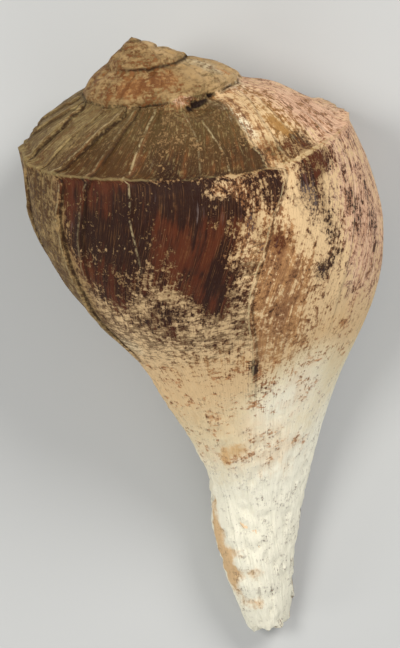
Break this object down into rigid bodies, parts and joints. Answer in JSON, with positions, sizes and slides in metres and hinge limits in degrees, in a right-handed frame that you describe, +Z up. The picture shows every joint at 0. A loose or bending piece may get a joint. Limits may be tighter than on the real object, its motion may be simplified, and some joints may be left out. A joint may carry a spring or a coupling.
{
  "type": "left-handed whelk shell",
  "caption": "Left-handed whelk shell with a worn low spire, a knobbed shoulder and a long open canal, lying on its open side as a display piece",
  "frame": {"origin": "centre of the bounding box at the level of the surface that the shell lies on", "axes": "+Y runs towards the apex of the spire, the canal points to -Y, +Z is up from the mouth side to the back, the outer lip is on the +X side"},
  "size_m": [0.1094, 0.2012, 0.0871],
  "materials": {
    "shell": "dry and worn, dark brown skin flaking off a cream and ivory shell, satin inside the mouth"
  },
  "bodies": {
    "root": {"whelk_shell": "shell"}
  },
  "joints": []
}
